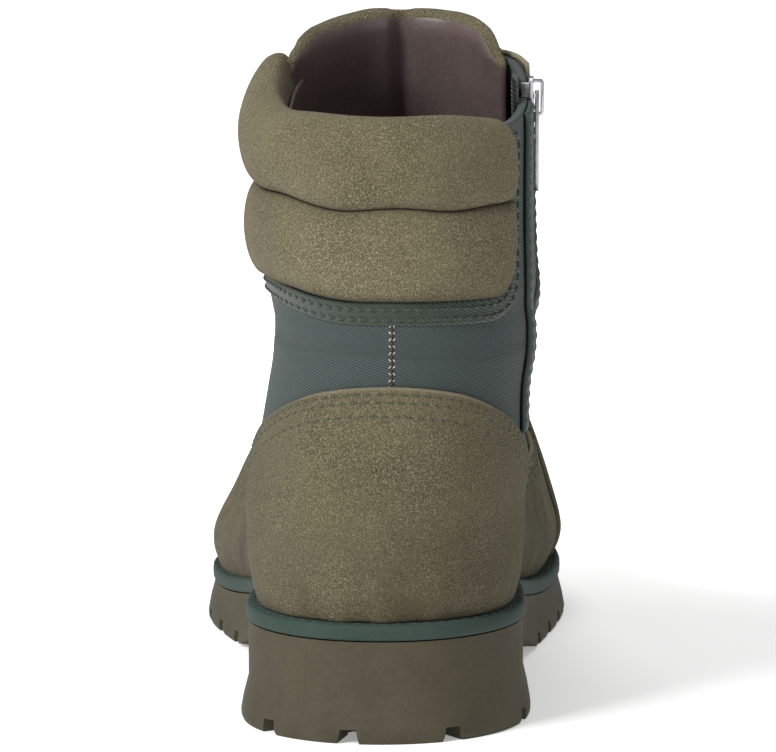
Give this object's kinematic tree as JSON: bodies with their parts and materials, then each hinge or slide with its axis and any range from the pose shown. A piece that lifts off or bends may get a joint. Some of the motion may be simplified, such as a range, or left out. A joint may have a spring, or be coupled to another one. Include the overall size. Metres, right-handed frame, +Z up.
{
  "type": "lace-up boot",
  "caption": "Left ankle boot in suede and canvas with a padded two-roll collar, side zip, laced front, heeled lug sole and hollow upper.",
  "frame": {"origin": "on the floor, at the middle of the heel tread", "axes": "+Z up, +Y towards the toe, +X towards the inner (medial) side of the left foot"},
  "size_m": [0.1139, 0.3008, 0.2018],
  "materials": {
    "rubber": "matt moulded rubber, olive brown",
    "rim_rubber": "matt rubber band, dark green",
    "lining": "smooth lining leather, mauve brown",
    "canvas": "ribbed canvas, grey green",
    "suede": "brushed suede, olive tan",
    "guard_leather": "grained leather strip, dark green",
    "zip_black": "woven zip tape with metal teeth, black",
    "steel": "polished nickel",
    "gunmetal": "dark gunmetal",
    "lace": "woven round cord, dark green"
  },
  "bodies": {
    "boot": {"outsole": "rubber", "rim": "rim_rubber", "insole": "lining", "upper": "canvas", "tongue": "lining", "heel_counter": "suede", "wing_lateral": "suede", "wing_medial": "suede", "toe_cap": "suede", "eyestay_lateral": "suede", "eyestay_medial": "suede", "collar": "suede", "zip": "zip_black", "zip_guard_back": "guard_leather", "zip_guard_front": "guard_leather", "zip_slider": "steel", "lace": "lace", "eyelet_lateral_1": "gunmetal", "eyelet_medial_1": "gunmetal", "eyelet_lateral_2": "gunmetal", "eyelet_medial_2": "gunmetal", "eyelet_lateral_3": "gunmetal", "eyelet_medial_3": "gunmetal", "eyelet_lateral_4": "gunmetal", "eyelet_medial_4": "gunmetal", "eyelet_lateral_5": "gunmetal", "eyelet_medial_5": "gunmetal", "hook_lateral_1": "gunmetal", "hook_medial_1": "gunmetal", "hook_lateral_2": "gunmetal", "hook_medial_2": "gunmetal"},
    "zip_pull": {"zip_pull": "steel"}
  },
  "joints": [
    {"name": "zip_pull_hinge", "type": "hinge", "parent": "boot", "child": "zip_pull", "pos_m": [0.04385, 0.01532, 0.17796], "axis": [0, -1, 0], "range_deg": [0, 170]}
  ]
}
